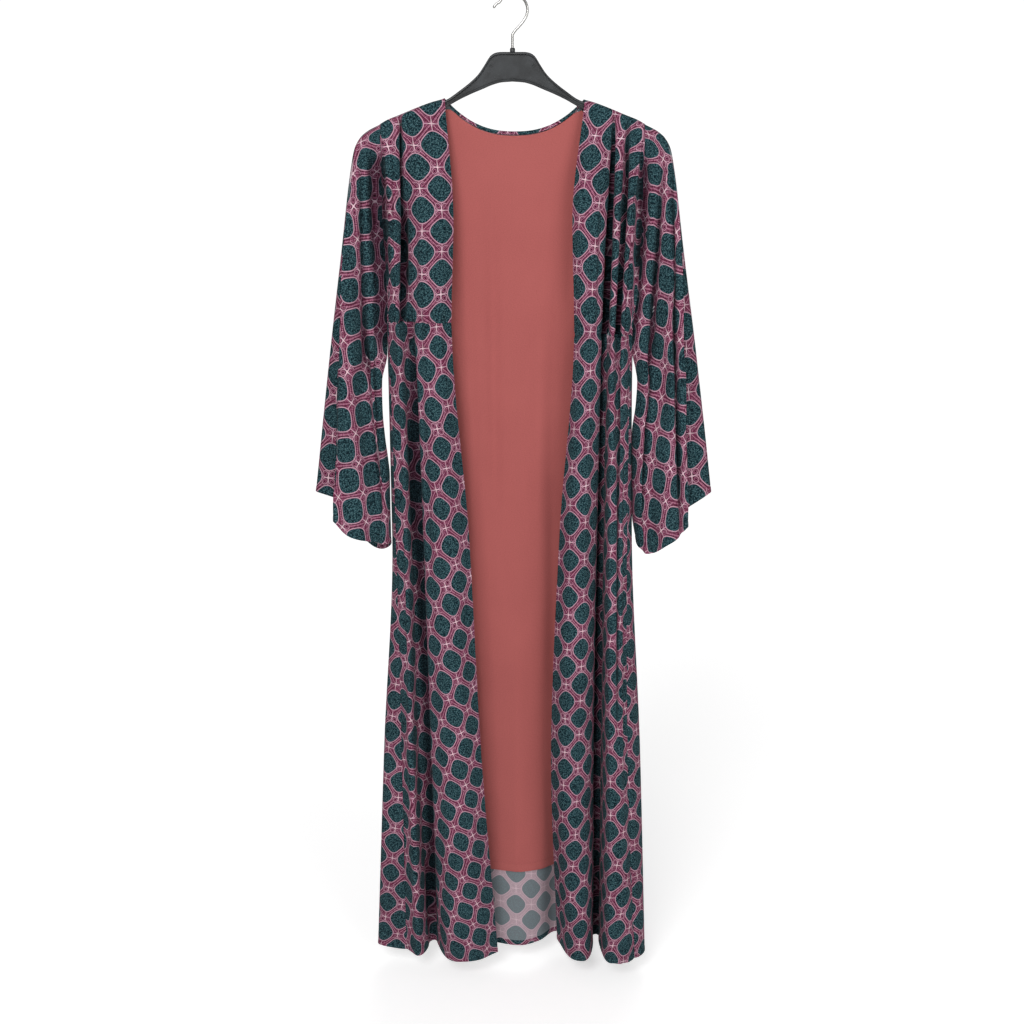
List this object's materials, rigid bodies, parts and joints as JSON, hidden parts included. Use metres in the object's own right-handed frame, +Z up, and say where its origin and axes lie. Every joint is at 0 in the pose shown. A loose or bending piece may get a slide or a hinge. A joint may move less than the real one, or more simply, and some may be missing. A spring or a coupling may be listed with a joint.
{
  "type": "kimono on a hanger",
  "caption": "Long open-front kimono robe with wide sleeves, a gathered waist seam and a plain back lining, hanging on a plastic hanger with a wire hook.",
  "frame": {"origin": "inside top of the hook, where a rail carries the hanger", "axes": "+Z up, the open front faces -Y, +X to the wearer's left"},
  "size_m": [0.586, 0.1006, 1.4585],
  "materials": {
    "printed_cloth": "matt crepe, trellis print",
    "lining_cloth": "matt, plain dyed",
    "hanger_plastic": "moulded, satin",
    "hook_steel": "bright plated wire"
  },
  "bodies": {
    "root": {"front_bodice_right": "printed_cloth", "front_bodice_left": "printed_cloth", "front_skirt_right": "printed_cloth", "front_skirt_left": "printed_cloth", "back": "printed_cloth", "back_lining": "lining_cloth", "sleeve_front_right": "printed_cloth", "sleeve_back_right": "printed_cloth", "sleeve_front_left": "printed_cloth", "sleeve_back_left": "printed_cloth", "neck_binding": "printed_cloth", "hanger_body": "hanger_plastic", "hanger_collar": "hanger_plastic", "hanger_hook": "hook_steel"}
  },
  "joints": []
}
